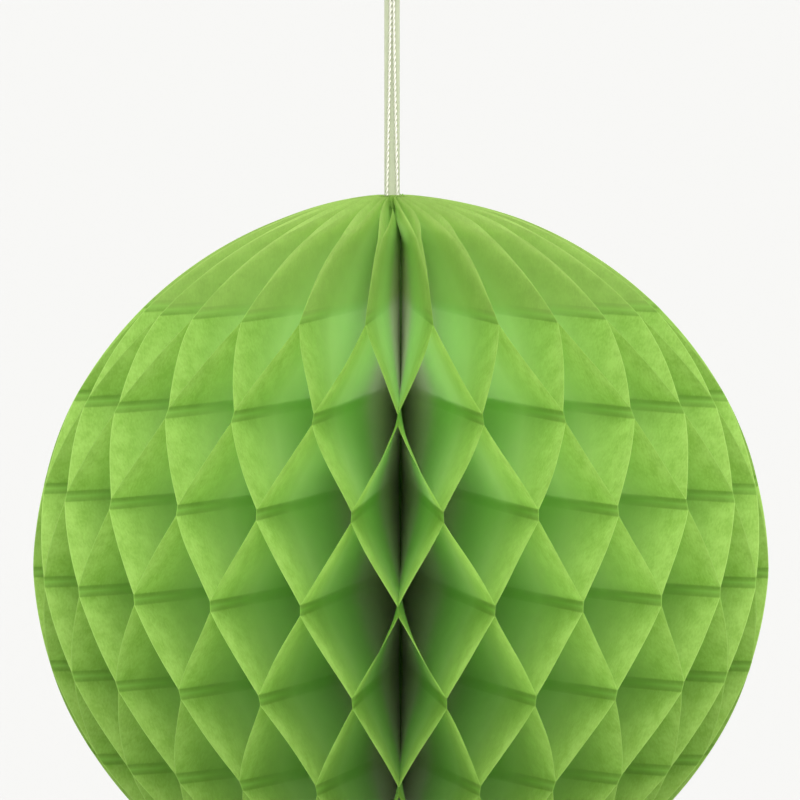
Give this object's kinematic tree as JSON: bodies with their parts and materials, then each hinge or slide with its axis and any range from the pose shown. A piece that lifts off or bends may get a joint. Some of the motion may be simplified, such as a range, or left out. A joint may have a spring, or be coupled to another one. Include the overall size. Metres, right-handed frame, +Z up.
{
  "type": "paper honeycomb ball",
  "caption": "Lime green tissue honeycomb ball, opened right out between two card covers and hung by a ribbon and two threads; it folds flat about its spine.",
  "frame": {"origin": "where a hook bears, inside the top of the ribbon's hanging loop", "axes": "+Z up along the ball's spine; +Y from the spine to the seam between the two covers; -Y to the front of the ball"},
  "size_m": [0.2033, 0.2031, 0.2763],
  "materials": {
    "tissue_paper": "dyed tissue paper, matt, light shows through",
    "cover_card": "uncoated dyed card, matt",
    "pad_foam": "white foam with adhesive faces",
    "cotton_thread": "twisted cotton, off-white",
    "satin_ribbon": "woven satin, pale sage green"
  },
  "bodies": {
    "first_cover": {"cover_a": "cover_card", "leaf_00": "tissue_paper", "seam_pads": "pad_foam", "top_knot": "cotton_thread", "bottom_knot": "cotton_thread", "centre_thread": "cotton_thread", "thread_left": "cotton_thread", "thread_right": "cotton_thread", "ribbon": "satin_ribbon", "loop_knot": "satin_ribbon"},
    "leaf_01": {"leaf_01": "tissue_paper"},
    "leaf_02": {"leaf_02": "tissue_paper"},
    "leaf_03": {"leaf_03": "tissue_paper"},
    "leaf_04": {"leaf_04": "tissue_paper"},
    "leaf_05": {"leaf_05": "tissue_paper"},
    "leaf_06": {"leaf_06": "tissue_paper"},
    "leaf_07": {"leaf_07": "tissue_paper"},
    "leaf_08": {"leaf_08": "tissue_paper"},
    "leaf_09": {"leaf_09": "tissue_paper"},
    "leaf_10": {"leaf_10": "tissue_paper"},
    "leaf_11": {"leaf_11": "tissue_paper"},
    "leaf_12": {"leaf_12": "tissue_paper"},
    "leaf_13": {"leaf_13": "tissue_paper"},
    "leaf_14": {"leaf_14": "tissue_paper"},
    "leaf_15": {"leaf_15": "tissue_paper"},
    "leaf_16": {"leaf_16": "tissue_paper"},
    "leaf_17": {"leaf_17": "tissue_paper"},
    "leaf_18": {"leaf_18": "tissue_paper"},
    "leaf_19": {"leaf_19": "tissue_paper"},
    "leaf_20": {"leaf_20": "tissue_paper"},
    "leaf_21": {"leaf_21": "tissue_paper"},
    "leaf_22": {"leaf_22": "tissue_paper"},
    "leaf_23": {"leaf_23": "tissue_paper"},
    "leaf_24": {"leaf_24": "tissue_paper"},
    "leaf_25": {"leaf_25": "tissue_paper"},
    "leaf_26": {"leaf_26": "tissue_paper"},
    "leaf_27": {"leaf_27": "tissue_paper"},
    "leaf_28": {"leaf_28": "tissue_paper"},
    "leaf_29": {"leaf_29": "tissue_paper"},
    "leaf_30": {"leaf_30": "tissue_paper"},
    "leaf_31": {"leaf_31": "tissue_paper"},
    "leaf_32": {"leaf_32": "tissue_paper"},
    "leaf_33": {"leaf_33": "tissue_paper"},
    "leaf_34": {"leaf_34": "tissue_paper"},
    "leaf_35": {"leaf_35": "tissue_paper"},
    "leaf_36": {"leaf_36": "tissue_paper"},
    "leaf_37": {"leaf_37": "tissue_paper"},
    "leaf_38": {"leaf_38": "tissue_paper"},
    "leaf_39": {"leaf_39": "tissue_paper"},
    "leaf_40": {"leaf_40": "tissue_paper"},
    "leaf_41": {"leaf_41": "tissue_paper"},
    "leaf_42": {"leaf_42": "tissue_paper"},
    "leaf_43": {"leaf_43": "tissue_paper"},
    "leaf_44": {"leaf_44": "tissue_paper"},
    "leaf_45": {"leaf_45": "tissue_paper"},
    "leaf_46": {"leaf_46": "tissue_paper"},
    "leaf_47": {"leaf_47": "tissue_paper"},
    "leaf_48": {"leaf_48": "tissue_paper"},
    "leaf_49": {"leaf_49": "tissue_paper"},
    "last_cover": {"cover_b": "cover_card"}
  },
  "joints": [
    {"name": "fold_01", "type": "hinge", "parent": "first_cover", "child": "leaf_01", "pos_m": [-0.00063, 0.00062, -0.17447], "axis": [0, 0, 1], "range_deg": [-7.2, 0]},
    {"name": "fold_02", "type": "hinge", "parent": "leaf_01", "child": "leaf_02", "pos_m": [-0.00071, 0.00057, -0.17447], "axis": [0, 0, 1], "range_deg": [-7.2, 0]},
    {"name": "fold_03", "type": "hinge", "parent": "leaf_02", "child": "leaf_03", "pos_m": [-0.00077, 0.00052, -0.17447], "axis": [0, 0, 1], "range_deg": [-7.2, 0]},
    {"name": "fold_04", "type": "hinge", "parent": "leaf_03", "child": "leaf_04", "pos_m": [-0.00084, 0.00046, -0.17447], "axis": [0, 0, 1], "range_deg": [-7.2, 0]},
    {"name": "fold_05", "type": "hinge", "parent": "leaf_04", "child": "leaf_05", "pos_m": [-0.00089, 0.00039, -0.17447], "axis": [0, 0, 1], "range_deg": [-7.2, 0]},
    {"name": "fold_06", "type": "hinge", "parent": "leaf_05", "child": "leaf_06", "pos_m": [-0.00093, 0.00032, -0.17447], "axis": [0, 0, 1], "range_deg": [-7.2, 0]},
    {"name": "fold_07", "type": "hinge", "parent": "leaf_06", "child": "leaf_07", "pos_m": [-0.00097, 0.00024, -0.17447], "axis": [0, 0, 1], "range_deg": [-7.2, 0]},
    {"name": "fold_08", "type": "hinge", "parent": "leaf_07", "child": "leaf_08", "pos_m": [-0.00099, 0.00015, -0.17447], "axis": [0, 0, 1], "range_deg": [-7.2, 0]},
    {"name": "fold_09", "type": "hinge", "parent": "leaf_08", "child": "leaf_09", "pos_m": [-0.00101, 0.00007, -0.17447], "axis": [0, 0, 1], "range_deg": [-7.2, 0]},
    {"name": "fold_10", "type": "hinge", "parent": "leaf_09", "child": "leaf_10", "pos_m": [-0.00101, -0.00002, -0.17447], "axis": [0, 0, 1], "range_deg": [-7.2, 0]},
    {"name": "fold_11", "type": "hinge", "parent": "leaf_10", "child": "leaf_11", "pos_m": [-0.001, -0.00011, -0.17447], "axis": [0, 0, 1], "range_deg": [-7.2, 0]},
    {"name": "fold_12", "type": "hinge", "parent": "leaf_11", "child": "leaf_12", "pos_m": [-0.00098, -0.00019, -0.17447], "axis": [0, 0, 1], "range_deg": [-7.2, 0]},
    {"name": "fold_13", "type": "hinge", "parent": "leaf_12", "child": "leaf_13", "pos_m": [-0.00095, -0.00028, -0.17447], "axis": [0, 0, 1], "range_deg": [-7.2, 0]},
    {"name": "fold_14", "type": "hinge", "parent": "leaf_13", "child": "leaf_14", "pos_m": [-0.00091, -0.00035, -0.17447], "axis": [0, 0, 1], "range_deg": [-7.2, 0]},
    {"name": "fold_15", "type": "hinge", "parent": "leaf_14", "child": "leaf_15", "pos_m": [-0.00086, -0.00043, -0.17447], "axis": [0, 0, 1], "range_deg": [-7.2, 0]},
    {"name": "fold_16", "type": "hinge", "parent": "leaf_15", "child": "leaf_16", "pos_m": [-0.00081, -0.00049, -0.17447], "axis": [0, 0, 1], "range_deg": [-7.2, 0]},
    {"name": "fold_17", "type": "hinge", "parent": "leaf_16", "child": "leaf_17", "pos_m": [-0.00074, -0.00055, -0.17447], "axis": [0, 0, 1], "range_deg": [-7.2, 0]},
    {"name": "fold_18", "type": "hinge", "parent": "leaf_17", "child": "leaf_18", "pos_m": [-0.00067, -0.0006, -0.17447], "axis": [0, 0, 1], "range_deg": [-7.2, 0]},
    {"name": "fold_19", "type": "hinge", "parent": "leaf_18", "child": "leaf_19", "pos_m": [-0.00059, -0.00064, -0.17447], "axis": [0, 0, 1], "range_deg": [-7.2, 0]},
    {"name": "fold_20", "type": "hinge", "parent": "leaf_19", "child": "leaf_20", "pos_m": [-0.00051, -0.00067, -0.17447], "axis": [0, 0, 1], "range_deg": [-7.2, 0]},
    {"name": "fold_21", "type": "hinge", "parent": "leaf_20", "child": "leaf_21", "pos_m": [-0.00042, -0.00069, -0.17447], "axis": [0, 0, 1], "range_deg": [-7.2, 0]},
    {"name": "fold_22", "type": "hinge", "parent": "leaf_21", "child": "leaf_22", "pos_m": [-0.00034, -0.00069, -0.17447], "axis": [0, 0, 1], "range_deg": [-7.2, 0]},
    {"name": "fold_23", "type": "hinge", "parent": "leaf_22", "child": "leaf_23", "pos_m": [-0.00025, -0.00069, -0.17447], "axis": [0, 0, 1], "range_deg": [-7.2, 0]},
    {"name": "fold_24", "type": "hinge", "parent": "leaf_23", "child": "leaf_24", "pos_m": [-0.00016, -0.00068, -0.17447], "axis": [0, 0, 1], "range_deg": [-7.2, 0]},
    {"name": "fold_25", "type": "hinge", "parent": "leaf_24", "child": "leaf_25", "pos_m": [-0.00008, -0.00065, -0.17447], "axis": [0, 0, 1], "range_deg": [-7.2, 0]},
    {"name": "fold_26", "type": "hinge", "parent": "leaf_25", "child": "leaf_26", "pos_m": [0, -0.00069, -0.17447], "axis": [0, 0, 1], "range_deg": [-7.2, 0]},
    {"name": "fold_27", "type": "hinge", "parent": "leaf_26", "child": "leaf_27", "pos_m": [0.00008, -0.00071, -0.17447], "axis": [0, 0, 1], "range_deg": [-7.2, 0]},
    {"name": "fold_28", "type": "hinge", "parent": "leaf_27", "child": "leaf_28", "pos_m": [0.00017, -0.00073, -0.17447], "axis": [0, 0, 1], "range_deg": [-7.2, 0]},
    {"name": "fold_29", "type": "hinge", "parent": "leaf_28", "child": "leaf_29", "pos_m": [0.00026, -0.00073, -0.17447], "axis": [0, 0, 1], "range_deg": [-7.2, 0]},
    {"name": "fold_30", "type": "hinge", "parent": "leaf_29", "child": "leaf_30", "pos_m": [0.00034, -0.00072, -0.17447], "axis": [0, 0, 1], "range_deg": [-7.2, 0]},
    {"name": "fold_31", "type": "hinge", "parent": "leaf_30", "child": "leaf_31", "pos_m": [0.00043, -0.0007, -0.17447], "axis": [0, 0, 1], "range_deg": [-7.2, 0]},
    {"name": "fold_32", "type": "hinge", "parent": "leaf_31", "child": "leaf_32", "pos_m": [0.00051, -0.00067, -0.17447], "axis": [0, 0, 1], "range_deg": [-7.2, 0]},
    {"name": "fold_33", "type": "hinge", "parent": "leaf_32", "child": "leaf_33", "pos_m": [0.00059, -0.00063, -0.17447], "axis": [0, 0, 1], "range_deg": [-7.2, 0]},
    {"name": "fold_34", "type": "hinge", "parent": "leaf_33", "child": "leaf_34", "pos_m": [0.00066, -0.00058, -0.17447], "axis": [0, 0, 1], "range_deg": [-7.2, 0]},
    {"name": "fold_35", "type": "hinge", "parent": "leaf_34", "child": "leaf_35", "pos_m": [0.00073, -0.00053, -0.17447], "axis": [0, 0, 1], "range_deg": [-7.2, 0]},
    {"name": "fold_36", "type": "hinge", "parent": "leaf_35", "child": "leaf_36", "pos_m": [0.00078, -0.00046, -0.17447], "axis": [0, 0, 1], "range_deg": [-7.2, 0]},
    {"name": "fold_37", "type": "hinge", "parent": "leaf_36", "child": "leaf_37", "pos_m": [0.00083, -0.00039, -0.17447], "axis": [0, 0, 1], "range_deg": [-7.2, 0]},
    {"name": "fold_38", "type": "hinge", "parent": "leaf_37", "child": "leaf_38", "pos_m": [0.00087, -0.00031, -0.17447], "axis": [0, 0, 1], "range_deg": [-7.2, 0]},
    {"name": "fold_39", "type": "hinge", "parent": "leaf_38", "child": "leaf_39", "pos_m": [0.0009, -0.00023, -0.17447], "axis": [0, 0, 1], "range_deg": [-7.2, 0]},
    {"name": "fold_40", "type": "hinge", "parent": "leaf_39", "child": "leaf_40", "pos_m": [0.00092, -0.00014, -0.17447], "axis": [0, 0, 1], "range_deg": [-7.2, 0]},
    {"name": "fold_41", "type": "hinge", "parent": "leaf_40", "child": "leaf_41", "pos_m": [0.00093, -0.00006, -0.17447], "axis": [0, 0, 1], "range_deg": [-7.2, 0]},
    {"name": "fold_42", "type": "hinge", "parent": "leaf_41", "child": "leaf_42", "pos_m": [0.00093, 0.00003, -0.17447], "axis": [0, 0, 1], "range_deg": [-7.2, 0]},
    {"name": "fold_43", "type": "hinge", "parent": "leaf_42", "child": "leaf_43", "pos_m": [0.00091, 0.00012, -0.17447], "axis": [0, 0, 1], "range_deg": [-7.2, 0]},
    {"name": "fold_44", "type": "hinge", "parent": "leaf_43", "child": "leaf_44", "pos_m": [0.00089, 0.0002, -0.17447], "axis": [0, 0, 1], "range_deg": [-7.2, 0]},
    {"name": "fold_45", "type": "hinge", "parent": "leaf_44", "child": "leaf_45", "pos_m": [0.00085, 0.00028, -0.17447], "axis": [0, 0, 1], "range_deg": [-7.2, 0]},
    {"name": "fold_46", "type": "hinge", "parent": "leaf_45", "child": "leaf_46", "pos_m": [0.00081, 0.00036, -0.17447], "axis": [0, 0, 1], "range_deg": [-7.2, 0]},
    {"name": "fold_47", "type": "hinge", "parent": "leaf_46", "child": "leaf_47", "pos_m": [0.00076, 0.00042, -0.17447], "axis": [0, 0, 1], "range_deg": [-7.2, 0]},
    {"name": "fold_48", "type": "hinge", "parent": "leaf_47", "child": "leaf_48", "pos_m": [0.00069, 0.00049, -0.17447], "axis": [0, 0, 1], "range_deg": [-7.2, 0]},
    {"name": "fold_49", "type": "hinge", "parent": "leaf_48", "child": "leaf_49", "pos_m": [0.00063, 0.00054, -0.17447], "axis": [0, 0, 1], "range_deg": [-7.2, 0]},
    {"name": "fold_50", "type": "hinge", "parent": "leaf_49", "child": "last_cover", "pos_m": [0.00055, 0.00058, -0.17447], "axis": [0, 0, 1], "range_deg": [-7.2, 0]}
  ],
  "couplings": [
    {"joint": "fold_02", "follows": "fold_01", "ratio": 1},
    {"joint": "fold_03", "follows": "fold_01", "ratio": 1},
    {"joint": "fold_04", "follows": "fold_01", "ratio": 1},
    {"joint": "fold_05", "follows": "fold_01", "ratio": 1},
    {"joint": "fold_06", "follows": "fold_01", "ratio": 1},
    {"joint": "fold_07", "follows": "fold_01", "ratio": 1},
    {"joint": "fold_08", "follows": "fold_01", "ratio": 1},
    {"joint": "fold_09", "follows": "fold_01", "ratio": 1},
    {"joint": "fold_10", "follows": "fold_01", "ratio": 1},
    {"joint": "fold_11", "follows": "fold_01", "ratio": 1},
    {"joint": "fold_12", "follows": "fold_01", "ratio": 1},
    {"joint": "fold_13", "follows": "fold_01", "ratio": 1},
    {"joint": "fold_14", "follows": "fold_01", "ratio": 1},
    {"joint": "fold_15", "follows": "fold_01", "ratio": 1},
    {"joint": "fold_16", "follows": "fold_01", "ratio": 1},
    {"joint": "fold_17", "follows": "fold_01", "ratio": 1},
    {"joint": "fold_18", "follows": "fold_01", "ratio": 1},
    {"joint": "fold_19", "follows": "fold_01", "ratio": 1},
    {"joint": "fold_20", "follows": "fold_01", "ratio": 1},
    {"joint": "fold_21", "follows": "fold_01", "ratio": 1},
    {"joint": "fold_22", "follows": "fold_01", "ratio": 1},
    {"joint": "fold_23", "follows": "fold_01", "ratio": 1},
    {"joint": "fold_24", "follows": "fold_01", "ratio": 1},
    {"joint": "fold_25", "follows": "fold_01", "ratio": 1},
    {"joint": "fold_26", "follows": "fold_01", "ratio": 1},
    {"joint": "fold_27", "follows": "fold_01", "ratio": 1},
    {"joint": "fold_28", "follows": "fold_01", "ratio": 1},
    {"joint": "fold_29", "follows": "fold_01", "ratio": 1},
    {"joint": "fold_30", "follows": "fold_01", "ratio": 1},
    {"joint": "fold_31", "follows": "fold_01", "ratio": 1},
    {"joint": "fold_32", "follows": "fold_01", "ratio": 1},
    {"joint": "fold_33", "follows": "fold_01", "ratio": 1},
    {"joint": "fold_34", "follows": "fold_01", "ratio": 1},
    {"joint": "fold_35", "follows": "fold_01", "ratio": 1},
    {"joint": "fold_36", "follows": "fold_01", "ratio": 1},
    {"joint": "fold_37", "follows": "fold_01", "ratio": 1},
    {"joint": "fold_38", "follows": "fold_01", "ratio": 1},
    {"joint": "fold_39", "follows": "fold_01", "ratio": 1},
    {"joint": "fold_40", "follows": "fold_01", "ratio": 1},
    {"joint": "fold_41", "follows": "fold_01", "ratio": 1},
    {"joint": "fold_42", "follows": "fold_01", "ratio": 1},
    {"joint": "fold_43", "follows": "fold_01", "ratio": 1},
    {"joint": "fold_44", "follows": "fold_01", "ratio": 1},
    {"joint": "fold_45", "follows": "fold_01", "ratio": 1},
    {"joint": "fold_46", "follows": "fold_01", "ratio": 1},
    {"joint": "fold_47", "follows": "fold_01", "ratio": 1},
    {"joint": "fold_48", "follows": "fold_01", "ratio": 1},
    {"joint": "fold_49", "follows": "fold_01", "ratio": 1},
    {"joint": "fold_50", "follows": "fold_01", "ratio": 1}
  ]
}
